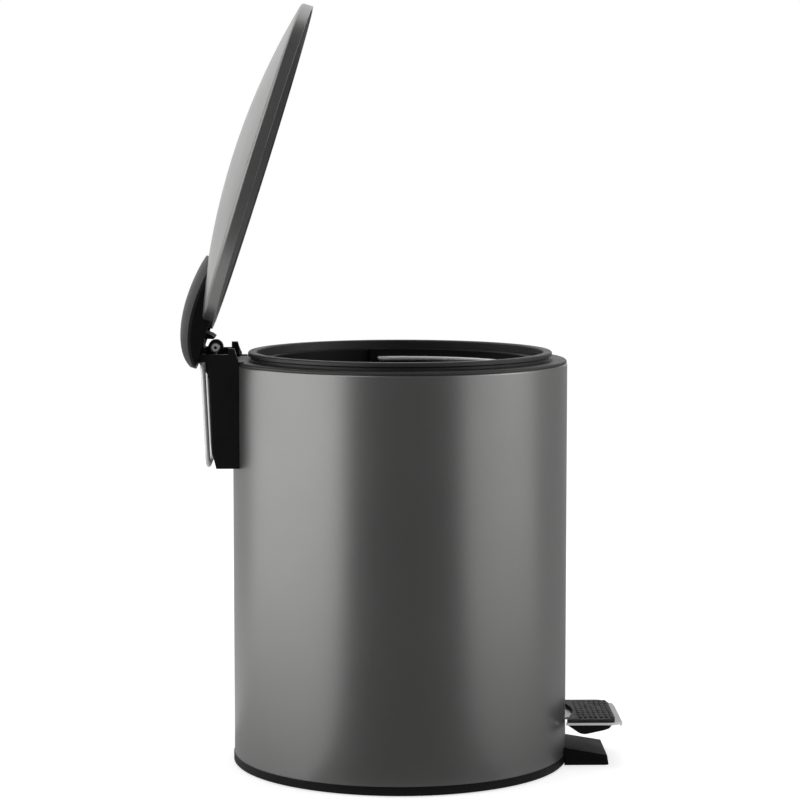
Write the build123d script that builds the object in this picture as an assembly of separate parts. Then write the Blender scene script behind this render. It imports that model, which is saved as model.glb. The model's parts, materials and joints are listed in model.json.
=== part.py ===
"""Pedal trash can: a round steel body with an inner bucket, a hinged lid and a foot pedal.

Frame: +X is the front (pedal), -X the rear (hinge), +Z up. The origin is on the floor,
on the axis of the round body. Everything stands with the pedal pressed and the lid open.
The lid group is drawn closed and then turned open about its hinge. Lengths are in mm.
"""
import os
from math import asin, atan2, cos, degrees, hypot, radians, sin, sqrt

from build123d import *

# --- body -----------------------------------------------------------------------------
BODY_R = 102.5          # outer radius of the steel body
STEEL_T = 0.6           # sheet thickness of body and lid
BODY_FOOT_Z = 5.9       # lower edge of the steel, on the base's shoulder
BODY_TOP_Z = 247.4      # top of the rolled edge
ROLL_R = 1.2            # radius of the rolled top edge
EDGE = 0.7              # chamfer of moulded edges
SEAT_GAP = 0.1          # between curved pieces that are fastened together
RUN_GAP = 0.3           # between pieces that move past each other
FIT_GAP = 0.06          # radial play of a pin in a bore that turns on it
PRESS_GAP = 0.02        # radial play of a pin that is pressed in

# --- base -----------------------------------------------------------------------------
BASE_R = BODY_R + 0.5   # base ring, a little proud of the steel
BASE_LIFT = 0.6         # its underside above the floor
FLOOR_Z = 2.4           # underside of the base's floor plate
FLOOR_T = 1.8
SKIRT_T = 2.1
MAT_R1 = BASE_R - 2.5   # anti-slip ring
MAT_W = 4.0
MAT_R0 = MAT_R1 - MAT_W
RIB_T = 1.6
RIB_H = 3.0
RIB_R0 = 34.0
RIB_AZIMUTHS = (45, 90, 135, 225, 270, 315)

# --- top ring and bucket --------------------------------------------------------------
COLLAR_TOP_Z = BODY_TOP_Z + 6.6
COLLAR_R = BODY_R - 9.4        # outer radius of the bead round the collar
COLLAR_IN_R = COLLAR_R - 5.2
NECK_R = COLLAR_R - 1.6        # groove under the bead
BEAD_H = 2.4
FLANGE_R = BODY_R - 0.4
FLANGE_T = 1.6
LEDGE_IN_R = COLLAR_IN_R - 2.7
LEDGE_Z = BODY_TOP_Z - 0.4     # ledge that carries the bucket's rim
LEDGE_T = 2.6
RING_SKIRT_R = BODY_R - ROLL_R - 0.4
RING_SKIRT_T = 1.8
RING_SKIRT_Z = BODY_TOP_Z - 9.4
BUCKET_RIM_R = COLLAR_IN_R - 0.4
BUCKET_RIM_Z = LEDGE_Z + 2.0
BUCKET_TOP_R = LEDGE_IN_R - 0.9    # outer radius of the wall under the rim
BUCKET_TAPER = 8.3
BUCKET_BOTTOM_R = BUCKET_TOP_R - BUCKET_TAPER
BUCKET_LEVER_GAP = 10.0        # from the lever up to the bucket
BUCKET_T = 1.6
BUCKET_TURN = 8.3       # the bucket stands turned a little in the ring, in degrees

# --- bail of the bucket ---------------------------------------------------------------
BAIL_WIRE_R = 1.5
BAIL_Z = BUCKET_RIM_Z - 6.1
BAIL_LEG_Y = BUCKET_TOP_R - 6.7
BAIL_SHIFT = 3.0        # straight legs before the half circle
BAIL_END_Y = BUCKET_TOP_R - 2.9
BAIL_EAR_W = 12.0
BAIL_EAR_H = 10.0
BAIL_EAR_IN = BUCKET_TOP_R - 4.7   # inner face of the ears

# --- lid hinge ------------------------------------------------------------------------
LID_Z = BODY_TOP_Z + 2.6       # plane of the lid's lower edge when closed
HINGE_BEHIND = 18.2            # from the steel back to the hinge pin
HINGE_X = -BODY_R - HINGE_BEHIND
HINGE_Z = LID_Z + 0.5
LID_OPEN = 72.35        # angle of the open lid, in degrees
PIN_R = 1.3
BARREL_R = 3.2
BARREL_HALF = 12.4
EAR_R = 3.0
EAR_Y0, EAR_Y1 = 13.0, 18.0

# --- lid ------------------------------------------------------------------------------
LID_R = BODY_R
LID_EDGE_R = 2.0        # rounding between band and dome
DOME_R = 421.0          # radius of the dome
LID_BAND_H = 6.83       # height at which the dome meets the band, over the lower edge
HEM_W = 1.8             # folded lower edge
LINER_T = 1.8
LINER_PANEL_R = LID_R - 7.3
LINER_RIM_Z = LID_Z + 1.0
LINER_BEAD_R = 61.0     # round bead in the liner's panel
LINER_BEAD_W = 6.0
LINER_BEAD_H = 1.0
PAD_R, PAD_T = 3.0, 1.0
PAD_GAP = 0.2           # between the pads and the collar when the lid is closed
PAD_AZIMUTHS = (0, 120, 240)
LINER_Z0 = COLLAR_TOP_Z + PAD_GAP + PAD_T      # underside of the liner's panel
ARM_SCREW_XS = (HINGE_X + 29.7, HINGE_X + 40.2)
ARM_SCREW_Y = 9.0
ARM_SEAT_XS = (HINGE_X + 19.2, HINGE_X + 42.7) # ends of the arm's seat on the dome
ARM_SEAT_T = 2.4
ARM_SEAT_HALF = 15.0
ARM_SCREW_L = 2.4
ARM_SCREW_HEAD_H = 1.2
PAD_RING_R = (COLLAR_R + COLLAR_IN_R) / 2

# --- hinge cap on the lid -------------------------------------------------------------
CAP_X = HINGE_X + 30.7         # centre of the crown's ellipses
CAP_Z = LID_Z + 3.5
CAP_H = 17.2
CAP_REAR = 38.3
CAP_FRONT = 46.1
CAP_TIP_X = CAP_X + 28.9
CAP_HALF = 36.0
CAP_REAR_BOW = 3.3      # how far the rear edge bows out at the middle
CAP_FRONT_BOW = 2.2
CAP_LIP_Z = LID_Z + 2.0
CAP_CAMBER_R = 105.0    # camber across the top
COVER_T = 1.4
CAP_WALL = 1.8
CAP_CORNER_R = 4.0
CAP_POST_R = 3.2        # posts down to the arm's seat
CAP_POST_Y = ARM_SCREW_Y + 2.0

# --- crank of the lid and push rod ----------------------------------------------------
CRANK_R = 9.9
CRANK_OPEN = 36.8       # angle of the crank when the lid is open, in degrees
CRANK_HALF = 4.0
EYE_R = 4.6
EYE_PIN_R = 1.2
EYE_SLOT_PLAY = 0.4     # play of the pin across the slot
EYE_SLOT_IN = 2.0       # how far the slot reaches inwards from the pin
ROD_R = 1.1
ROD_Y = -5.1
ROD_IN_X = 9.5 - BODY_R        # run of the rod inside the body
ROD_JOG_Z1 = BODY_TOP_Z - 16.4 # the jog leads out through the steel
ROD_JOG_H = 12.0
ROD_JOG_Z0 = ROD_JOG_Z1 - ROD_JOG_H
ROD_BEND_R = 5.0
ROD_EYE_R = 2.9
ROD_EYE_T = 1.6
ROD_FOOT_R = 2.8
ROD_FOOT_H = 8.0
GUIDE_H = 8.0

# --- hinge bracket on the body --------------------------------------------------------
BRACKET_HALF = 31.5
BRACKET_H = 60.5
BRACKET_Z1 = BODY_TOP_Z - 1.9
BRACKET_Z0 = BRACKET_Z1 - BRACKET_H
BRACKET_REAR_TOP_X = HINGE_X + 4.3
BRACKET_REAR_LOW_X = BRACKET_REAR_TOP_X + 1.8
BRACKET_REAR_LOW_Z = BRACKET_Z0 + 12.0
BRACKET_TOE_X = BRACKET_REAR_LOW_X + 3.0
BRACKET_WALL = 1.0
BRACKET_SIDE = 2.2
CHEEK_T = 4.0
CHEEK_Y0 = BRACKET_HALF - CHEEK_T
CHEEK_TOP_Z = HINGE_Z + 3.6
CHEEK_FRONT_X = -BODY_R - 1.6
LUG_Y0 = CHEEK_Y0 - 1.5
LUG_H = 10.2            # over the body's top
CHEEK_DROP = 2.4        # from the handle's pivot down to the cheek's overhang
SCREW_AZ = 15.3         # bracket screws, degrees each side of the rear
BRACKET_SCREW_ZS = (BRACKET_Z0 + 8.0, BRACKET_Z1 - 11.5)
BRACKET_SCREW_AZIMUTHS = (180 - SCREW_AZ, 180 + SCREW_AZ)
BOSS_WALL = 2.4         # wall of the screw bosses
SCREW_R = 1.5
SCREW_HEAD_R = 3.0
SCREW_HEAD_H = 1.8
BRACKET_SCREW_L = 7.5

# --- carry handle ---------------------------------------------------------------------
HANDLE_X = HINGE_X + 0.9
HANDLE_Z = HINGE_Z + 1.5
HANDLE_WIRE_R = 1.5
HANDLE_LEG_Y = CHEEK_Y0 - 2.5
HANDLE_END_Y = CHEEK_Y0 + 3.1
HANDLE_DROP = 66.2
HANDLE_CORNER_R = 9.0
HANDLE_LEAN = 2.7       # leans on the bracket at rest, in degrees
HANDLE_EYE_R = 2.6

# --- soft-close damper ----------------------------------------------------------------
DAMPER_X = -BODY_R - 5.0
DAMPER_Y = 12.0
DAMPER_R = 4.5
DAMPER_H = 26.0
DAMPER_Z0 = BRACKET_Z0 + 11.0
DAMPER_FLOOR = 1.2
DAMPER_LID = 2.0
PISTON_R = 1.25
PISTON_HEAD_R = 3.4
PISTON_HEAD_H = 3.0
YOKE_Z0 = ROD_JOG_Z1 + 3.0
YOKE_T = 3.2

# --- pedal ----------------------------------------------------------------------------
LEVER_T = 1.5
PLATE_TOP_Z = 28.0      # pedal plate outside the body
ARM_TOP_Z = PLATE_TOP_Z - 8.0      # lever inside the body
AXLE_X = 10.0
AXLE_Z = ARM_TOP_Z - 5.5
AXLE_R = 2.0
ARM_HALF = 15.0
ARM_END_HALF = 9.0
ARM_END_X = ROD_IN_X - 5.0
JOG_X0 = BODY_R - 15.5  # the lever steps up to the plate inside the body
JOG_X1 = JOG_X0 + 7.0
NECK_HALF = 13.5
PLATE_HALF = 30.8
PLATE_REACH = 33.5      # from the steel to the plate's front
PLATE_FRONT_X = BODY_R + PLATE_REACH
PLATE_REAR_R = BODY_R + 2.9    # hollow rear edge, concentric with the body
LIP_H = 2.6
PLATE_CORNER_R = 8.0
RUBBER_T = 2.0
RUBBER_HALF = PLATE_HALF - 0.8
RUBBER_FRONT_X = PLATE_FRONT_X - 4.5
RUBBER_HOLLOW_X = BODY_R + 4.6     # hollow in the middle of the tread's rear edge
RUBBER_HOLLOW_R = 54.0
RIB_ROWS, RIB_COLS = 7, 8
RIB_PITCH_X, RIB_PITCH_Y = 3.2, 6.4
RIB_MARGIN = 2.2        # from the tread's front edge to the last row
GRIP_RIB = (1.5, 4.6, 0.7)
SHELL_HALF = PLATE_HALF - 2.3
SHELL_X0 = PLATE_REAR_R - 4.0
SHELL_X1 = PLATE_FRONT_X - 5.5
SHELL_LOW_X = SHELL_X0 + 9.4
SHELL_DEPTH = 8.0       # of the keel below the plate's top
SHELL_NOSE_H = 3.7      # the shell rises this much from its keel to its nose
SHELL_NOSE_RUN = 2.5
SHELL_KEEL_R = 8.0
SHELL_LOW_Z = PLATE_TOP_Z - SHELL_DEPTH
PEDAL_SCREW_Y = 16.0
PEDAL_SCREW_X = SHELL_LOW_X + 2.5
PEDAL_SCREW_SUNK = 2.8
POST_Y0, POST_Y1 = 18.0, 23.0
POST_WALL = 4.0
LUG_T = 2.0
LUG_R = 4.5             # of the lever's lugs round the axle
STOP_X = 66.0
STOP_R = 4.5
STOP_H = 3.2
SLOT_HALF = NECK_HALF + 1.6
SLOT_Z0 = PLATE_TOP_Z - 4.0
SLOT_Z1 = PLATE_TOP_Z + 12.0
SLOT_CORNER_R = 4.0

# --- front foot -----------------------------------------------------------------------
FOOT_HALF = 23.0
FOOT_FRONT_X = PLATE_FRONT_X - 8.0
FOOT_REAR_TOP_Z = 10.1  # at the steel
FOOT_FRONT_TOP_Z = 6.0
FOOT_NOSE_LEAN = 1.1
FOOT_WALL = 2.4
FOOT_CORNER_R = 2.5
FOOT_SCREW_Y, FOOT_SCREW_Z = 12.0, 7.2
FOOT_SCREW_R, FOOT_SCREW_HEAD_R = 1.2, 2.4
FOOT_SCREW_L = 10.0
FOOT_SHOULDER_R = 1.6

# --- worked out from the above --------------------------------------------------------
ROD_X = HINGE_X + CRANK_R * cos(radians(CRANK_OPEN))
EYE_Z = HINGE_Z + CRANK_R * sin(radians(CRANK_OPEN))
ROD_RISE = CRANK_R * (sin(radians(CRANK_OPEN)) + sin(radians(LID_OPEN - CRANK_OPEN)))   # travel of the rod
DOME_CENTRE_Z = LID_Z + LID_BAND_H - sqrt(DOME_R ** 2 - LID_R ** 2)
FLOOR_TOP_Z = FLOOR_Z + FLOOR_T
BODY_IN_R = BODY_R - STEEL_T
SKIRT_R = BODY_IN_R - SEAT_GAP
SKIRT_TOP_Z = ARM_TOP_Z - LEVER_T - 0.5        # skirt of the base, just under the lever
BUCKET_BOTTOM_Z = ARM_TOP_Z + BUCKET_LEVER_GAP
GUIDE_ZS = (BUCKET_BOTTOM_Z + 40.0, BRACKET_Z0 - 13.0)
DAMPER_Z1 = DAMPER_Z0 + DAMPER_H
FAR = 400.0             # reach of a cutting tool


# --- helpers --------------------------------------------------------------------------
def face_of(points, plane=Plane.XZ):
    """Closed polygon face in a plane."""
    return plane * make_face(Polyline(*points, close=True))


def turned(points):
    """Ring turned about the Z axis from (radius, height) points."""
    return revolve(face_of(points), Axis.Z)


def slab_y(points, y0, y1):
    """Prism of an (x, z) outline between two y planes."""
    return Pos(0, y0, 0) * extrude(face_of(points), amount=y1 - y0, dir=(0, 1, 0))


def block(x0, x1, y0, y1, z0, z1):
    """Box between two corners."""
    return Pos((x0 + x1) / 2, (y0 + y1) / 2, (z0 + z1) / 2) * Box(x1 - x0, y1 - y0, z1 - z0)


def rod_y(x, z, radius, y0, y1):
    """Round bar along Y."""
    return Pos(x, (y0 + y1) / 2, z) * Rot(90, 0, 0) * Cylinder(radius, y1 - y0)


def rod_z(x, y, radius, z0, z1):
    """Round bar along Z."""
    return Pos(x, y, (z0 + z1) / 2) * Cylinder(radius, z1 - z0)


def rod_out(azimuth, z, radius, r0, r1):
    """Round bar along a radius of the body."""
    bar = Pos((r0 + r1) / 2, 0, z) * Rot(0, 90, 0) * Cylinder(radius, r1 - r0)
    return Rot(0, 0, azimuth) * bar


def wire(points, radii, radius):
    """Bent round wire along a path with rounded corners."""
    path = FilletPolyline(*points, radius=radii)
    section = Plane(origin=path @ 0, z_dir=path % 0) * Circle(radius)
    return sweep(section, path=path)


def mirrored(shape):
    """A shape and its copy on the other side of the XZ plane, as separate solids."""
    return [shape, mirror(shape, about=Plane.XZ)]


def from_hinge(points):
    """Outline points given from the lid's hinge."""
    return [(HINGE_X + x, HINGE_Z + z) for x, z in points]


def from_rear_edge(points):
    """Outline points given from the upper rear edge of the steel body."""
    return [(x - BODY_R, BODY_TOP_Z + z) for x, z in points]


def opened(shape):
    """Turn a piece of the closed lid to the open position."""
    about_hinge = Pos(HINGE_X, 0, HINGE_Z) * Rot(0, -LID_OPEN, 0) * Pos(-HINGE_X, 0, -HINGE_Z)
    return about_hinge * shape


def dome_z(radius, sink=0.0):
    """Height of the closed lid's dome over a point, less a depth along the normal."""
    return DOME_CENTRE_Z + sqrt((DOME_R - sink) ** 2 - radius ** 2)


# --- body group -----------------------------------------------------------------------
def body_form(sink, low_z):
    """Solid of the body's outside with its rolled edge, moved in by a depth, down to a height."""
    outer = BODY_R - sink
    roll = ROLL_R - sink
    centre_r, centre_z = BODY_R - ROLL_R, BODY_TOP_Z - ROLL_R
    mid = roll * sin(radians(45))
    start, knee, end = (outer, centre_z), (centre_r + mid, centre_z + mid), (centre_r, centre_z + roll)
    outline = Polyline(end, (0, centre_z + roll), (0, low_z), (outer, low_z), start)
    return revolve(Plane.XZ * make_face(outline + ThreePointArc(start, knee, end)), Axis.Z)


def rounded_window(x0, x1, y0, y1, z0, z1, radius):
    """Cutter along X with rounded corners."""
    tool = block(x0, x1, y0, y1, z0, z1)
    return fillet(tool.edges().filter_by(Axis.X), radius)


def make_body_shell():
    """Rolled steel body with its windows for pedal, push rod and screws."""
    skin = body_form(0, BODY_FOOT_Z) - body_form(STEEL_T, 0)
    skin -= rod_z(0, 0, BODY_R - ROLL_R, 0, FAR)
    skin -= rounded_window(BODY_R / 2, FAR, -SLOT_HALF, SLOT_HALF, SLOT_Z0, SLOT_Z1, SLOT_CORNER_R)
    cross_z = (ROD_JOG_Z0 + ROD_JOG_Z1) / 2
    half = ROD_R + 3 * RUN_GAP
    window_z0 = cross_z - ROD_RISE - 4 * half
    skin -= rounded_window(-FAR, -BODY_R / 2, ROD_Y - half, ROD_Y + half, window_z0,
                           cross_z + 3 * half, half - RUN_GAP)
    for z in BRACKET_SCREW_ZS:
        for azimuth in BRACKET_SCREW_AZIMUTHS:
            skin -= rod_out(azimuth, z, SCREW_R + RUN_GAP, BODY_R / 2, FAR)
    for azimuth in foot_screw_azimuths():
        skin -= rod_out(azimuth, FOOT_SCREW_Z, FOOT_SCREW_R + RUN_GAP, BODY_R / 2, FAR)
    return skin


def foot_screw_azimuths():
    """Directions of the two screws of the front foot."""
    azimuth = degrees(asin(FOOT_SCREW_Y / BODY_R))
    return (-azimuth, azimuth)


def make_base():
    """Moulded base: floor plate, outer ring, skirt, ribs, axle posts and stop post."""
    skirt_in = SKIRT_R - SKIRT_T
    base = turned([
        (0, FLOOR_Z), (MAT_R0 - 1.6, FLOOR_Z), (MAT_R0 - 1.6, BASE_LIFT), (MAT_R0, BASE_LIFT),
        (MAT_R0, FLOOR_Z), (MAT_R1, FLOOR_Z), (MAT_R1, BASE_LIFT), (BASE_R - 0.8, BASE_LIFT),
        (BASE_R, BASE_LIFT + 0.8), (BASE_R, BODY_FOOT_Z), (SKIRT_R, BODY_FOOT_Z),
        (SKIRT_R, SKIRT_TOP_Z), (skirt_in, SKIRT_TOP_Z), (skirt_in, FLOOR_TOP_Z), (0, FLOOR_TOP_Z),
    ])
    for azimuth in RIB_AZIMUTHS:
        rib = block(RIB_R0, skirt_in + SKIRT_T / 2, -RIB_T / 2, RIB_T / 2,
                    FLOOR_Z + FLOOR_T / 2, FLOOR_TOP_Z + RIB_H)
        base += Rot(0, 0, azimuth) * rib
    post_w = AXLE_R + POST_WALL
    outline = [(AXLE_X - post_w - 3, FLOOR_Z + 1), (AXLE_X + post_w + 3, FLOOR_Z + 1),
               (AXLE_X + post_w, AXLE_Z), (AXLE_X - post_w, AXLE_Z)]
    for y0, y1 in ((POST_Y0, POST_Y1), (-POST_Y1, -POST_Y0)):
        base += slab_y(outline, y0, y1) + rod_y(AXLE_X, AXLE_Z, post_w, y0, y1)
    base -= rod_y(AXLE_X, AXLE_Z, AXLE_R + PRESS_GAP, -FAR, FAR)
    base += rod_z(STOP_X, 0, STOP_R + 1.2, FLOOR_Z + 1, stop_seat_z())
    for azimuth in foot_screw_azimuths():
        base -= rod_out(azimuth, FOOT_SCREW_Z, FOOT_SCREW_R + PRESS_GAP, BODY_R / 2, FAR)
    return base


def stop_seat_z():
    """Top of the post under the lever's rubber stop."""
    return ARM_TOP_Z - LEVER_T - RUN_GAP - STOP_H


def make_lever_stop():
    """Rubber button that the pressed lever comes down on."""
    top = ARM_TOP_Z - LEVER_T - RUN_GAP
    button = rod_z(STOP_X, 0, STOP_R, stop_seat_z(), top)
    return fillet(button.edges().group_by(Axis.Z)[-1], 0.8)


def make_floor_ring():
    """Anti-slip ring in the groove of the base."""
    ring = turned([(MAT_R0 + SEAT_GAP, 0.4), (MAT_R0 + 0.5, 0), (MAT_R1 - 0.5, 0),
                   (MAT_R1 - SEAT_GAP, 0.4), (MAT_R1 - SEAT_GAP, FLOOR_Z), (MAT_R0 + SEAT_GAP, FLOOR_Z)])
    return ring


def foot_outline(inset):
    """Side outline of the front foot."""
    top_x = FOOT_FRONT_X - FOOT_NOSE_LEAN
    slope = (FOOT_REAR_TOP_Z - FOOT_FRONT_TOP_Z) / (top_x - BODY_R)
    rear_x = 0.9 * BODY_R
    rear_z = FOOT_FRONT_TOP_Z + slope * (top_x - rear_x)
    return [(rear_x, -inset), (FOOT_FRONT_X - inset, -inset),
            (top_x - inset, FOOT_FRONT_TOP_Z + slope * inset - inset), (rear_x, rear_z - inset)]


def is_foot_shoulder(point):
    """Whether a point is on one of the foot's long upper edges."""
    return abs(abs(point.Y) - FOOT_HALF) < 0.01 and point.Z > FOOT_FRONT_TOP_Z


def make_front_foot():
    """Hollow moulded foot under the pedal that keeps the can from tipping."""
    foot = slab_y(foot_outline(0.0), -FOOT_HALF, FOOT_HALF)
    foot = fillet(foot.edges().filter_by(lambda edge: is_foot_shoulder(edge.center())), FOOT_SHOULDER_R)
    plan = block(BODY_R / 2, FOOT_FRONT_X, -FOOT_HALF, FOOT_HALF, -1, FAR)
    foot &= fillet(plan.edges().filter_by(Axis.Z).group_by(Axis.X)[-1], FOOT_CORNER_R)
    half = FOOT_HALF - FOOT_WALL
    pocket = slab_y(foot_outline(FOOT_WALL), -half, half)
    pocket -= block(BODY_R / 2, FAR, -RIB_T / 2, RIB_T / 2, -1, FAR)
    for azimuth in foot_screw_azimuths():
        pocket -= rod_out(azimuth, FOOT_SCREW_Z, FOOT_SCREW_R + FOOT_WALL, BODY_R / 2, BODY_R + 11)
    back_wall = turned([(0, -9), (BASE_R + FOOT_WALL, -9), (BASE_R + FOOT_WALL, 40), (0, 40)])
    foot -= pocket - back_wall
    foot -= turned([(0, -9), (BASE_R + SEAT_GAP, -9), (BASE_R + SEAT_GAP, BODY_FOOT_Z + SEAT_GAP),
                    (BODY_R + SEAT_GAP, BODY_FOOT_Z + SEAT_GAP), (BODY_R + SEAT_GAP, 40), (0, 40)])
    for azimuth in foot_screw_azimuths():
        foot -= rod_out(azimuth, FOOT_SCREW_Z, FOOT_SCREW_R + PRESS_GAP, BODY_R / 2, BODY_R + 9)
    return foot


def radial_screw(azimuth, z, seat_r, length, radius, head_r):
    """Pan-head screw driven outwards from inside the body."""
    head = rod_out(azimuth, z, head_r, seat_r - SCREW_HEAD_H, seat_r)
    return head + rod_out(azimuth, z, radius, seat_r - SCREW_HEAD_H, seat_r + length)


def make_foot_screws():
    """Two screws that hold the front foot."""
    seat = SKIRT_R - SKIRT_T - SEAT_GAP
    return [radial_screw(azimuth, FOOT_SCREW_Z, seat, FOOT_SCREW_L, FOOT_SCREW_R, FOOT_SCREW_HEAD_R)
            for azimuth in foot_screw_azimuths()]


def make_top_ring():
    """Moulded ring on the steel's rolled edge: collar, bead, flange, ledge and skirt."""
    roll_r = BODY_R - ROLL_R
    flange_z = BODY_TOP_Z + FLANGE_T
    skirt_in = RING_SKIRT_R - RING_SKIRT_T
    return turned([
        (LEDGE_IN_R, LEDGE_Z - LEDGE_T), (LEDGE_IN_R, LEDGE_Z), (COLLAR_IN_R, LEDGE_Z),
        (COLLAR_IN_R, COLLAR_TOP_Z - EDGE), (COLLAR_IN_R + EDGE, COLLAR_TOP_Z),
        (COLLAR_R - EDGE, COLLAR_TOP_Z), (COLLAR_R, COLLAR_TOP_Z - EDGE), (COLLAR_R, COLLAR_TOP_Z - BEAD_H),
        (NECK_R, COLLAR_TOP_Z - BEAD_H - EDGE), (NECK_R, flange_z + EDGE), (NECK_R + EDGE, flange_z),
        (FLANGE_R - EDGE, flange_z), (FLANGE_R, flange_z - EDGE), (FLANGE_R, BODY_TOP_Z),
        (roll_r - SEAT_GAP, BODY_TOP_Z), (roll_r - SEAT_GAP, BODY_TOP_Z - 1.4),
        (RING_SKIRT_R, BODY_TOP_Z - 1.8), (RING_SKIRT_R, RING_SKIRT_Z), (skirt_in, RING_SKIRT_Z),
        (skirt_in, LEDGE_Z - LEDGE_T),
    ])


def make_inner_bucket():
    """Lift-out bucket with a rim, a foot ring and two ears for its bail."""
    wall = BUCKET_T
    rim_z = LEDGE_Z + SEAT_GAP
    bucket = turned([
        (0, BUCKET_BOTTOM_Z + 2), (BUCKET_BOTTOM_R - 9, BUCKET_BOTTOM_Z + 2),
        (BUCKET_BOTTOM_R - 8, BUCKET_BOTTOM_Z), (BUCKET_BOTTOM_R - 2, BUCKET_BOTTOM_Z),
        (BUCKET_BOTTOM_R, BUCKET_BOTTOM_Z + 2), (BUCKET_TOP_R, rim_z), (BUCKET_RIM_R, rim_z),
        (BUCKET_RIM_R, BUCKET_RIM_Z - EDGE), (BUCKET_RIM_R - EDGE, BUCKET_RIM_Z),
        (BUCKET_TOP_R - wall + EDGE, BUCKET_RIM_Z), (BUCKET_TOP_R - wall, BUCKET_RIM_Z - EDGE),
        (BUCKET_BOTTOM_R - wall, BUCKET_BOTTOM_Z + 2 + wall * 1.6),
        (BUCKET_BOTTOM_R - wall - 2, BUCKET_BOTTOM_Z + 2 + wall), (0, BUCKET_BOTTOM_Z + 2 + wall),
    ])
    ear_z = BUCKET_RIM_Z - BAIL_EAR_H
    ear = block(-BAIL_EAR_W / 2, BAIL_EAR_W / 2, BAIL_EAR_IN, BUCKET_TOP_R, ear_z, BUCKET_RIM_Z)
    ear &= turned([(0, ear_z - 9), (BUCKET_TOP_R - wall / 2 - 0.4, ear_z - 9),
                   (BUCKET_TOP_R - wall / 2, BUCKET_RIM_Z), (0, BUCKET_RIM_Z)])
    for side in mirrored(ear):
        bucket += side
    reach = BAIL_END_Y + RUN_GAP
    for y0, y1 in ((BAIL_EAR_IN - 9, reach), (-reach, -BAIL_EAR_IN + 9)):
        bucket -= rod_y(0, BAIL_Z, BAIL_WIRE_R + FIT_GAP, y0, y1)
    return Rot(0, 0, BUCKET_TURN) * bucket


def make_bucket_bail():
    """Wire bail of the bucket, lying forward inside the rim."""
    bend = BAIL_WIRE_R + 0.7
    hook = FilletPolyline((0, -BAIL_END_Y), (0, -BAIL_LEG_Y), (BAIL_SHIFT, -BAIL_LEG_Y), radius=bend)
    loop = ThreePointArc((BAIL_SHIFT, -BAIL_LEG_Y), (BAIL_SHIFT + BAIL_LEG_Y, 0), (BAIL_SHIFT, BAIL_LEG_Y))
    tail = FilletPolyline((BAIL_SHIFT, BAIL_LEG_Y), (0, BAIL_LEG_Y), (0, BAIL_END_Y), radius=bend)
    path = Pos(0, 0, BAIL_Z) * (hook + loop + tail)
    section = Plane(origin=path @ 0, z_dir=path % 0) * Circle(BAIL_WIRE_R)
    return Rot(0, 0, BUCKET_TURN) * sweep(section, path=path)


# --- bracket group --------------------------------------------------------------------
def body_envelope(gap):
    """Body and ring as one filled form, for pieces that seat on them."""
    flange_z = BODY_TOP_Z + FLANGE_T + gap
    cap = rod_z(0, 0, FLANGE_R + gap, BODY_TOP_Z - ROLL_R, flange_z)
    return body_form(-gap, BRACKET_Z0 - 20) + cap


def bracket_side(inset):
    """Side outline of the bracket's housing, its rear wall moved in by an inset."""
    front = -BODY_R / 2
    return [(BRACKET_TOE_X + inset, BRACKET_Z0 + inset), (BRACKET_REAR_LOW_X + inset, BRACKET_REAR_LOW_Z),
            (BRACKET_REAR_TOP_X + inset, BRACKET_Z1 - inset),
            (front, BRACKET_Z1 - inset), (front, BRACKET_Z0 + inset)]


def make_hinge_bracket():
    """Moulded housing on the rear of the body: cheeks, lugs over the rim, ears for the lid's pin."""
    housing = slab_y(bracket_side(0.0), -BRACKET_HALF, BRACKET_HALF)
    housing = fillet(housing.edges().filter_by(Axis.Z, tolerance=5).group_by(Axis.X)[0], 1.2)
    inner_half = BRACKET_HALF - BRACKET_SIDE
    cavity = slab_y(bracket_side(BRACKET_WALL), -inner_half, inner_half)
    for azimuth in BRACKET_SCREW_AZIMUTHS:
        for z in BRACKET_SCREW_ZS:
            cavity -= rod_out(azimuth, z, SCREW_R + BOSS_WALL, BODY_R / 2, FAR)
    cavity -= rod_z(DAMPER_X, DAMPER_Y, DAMPER_R + 1.6, BRACKET_Z0, DAMPER_Z0)
    housing -= cavity
    crank_end = HINGE_X + CRANK_R + EYE_R
    housing -= block(-FAR, crank_end + 4, ROD_Y - 3.4, CRANK_HALF + 3.4, BRACKET_Z1 - 7.5, FAR)
    for sign in (-1, 1):
        housing += bracket_cheek(sign)
    housing -= lid_envelope(RUN_GAP + SEAT_GAP)
    housing -= body_envelope(SEAT_GAP / 2)
    housing -= rod_y(HINGE_X, HINGE_Z, PIN_R + PRESS_GAP, -EAR_Y1 - 1, EAR_Y1 + 1)
    reach = HANDLE_END_Y + RUN_GAP
    housing -= rod_y(HANDLE_X, HANDLE_Z, HANDLE_WIRE_R + FIT_GAP, -reach, reach)
    for azimuth in BRACKET_SCREW_AZIMUTHS:
        for z in BRACKET_SCREW_ZS:
            housing -= rod_out(azimuth, z, SCREW_R + PRESS_GAP, BODY_R / 2, BODY_R + 8)
    return housing


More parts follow.
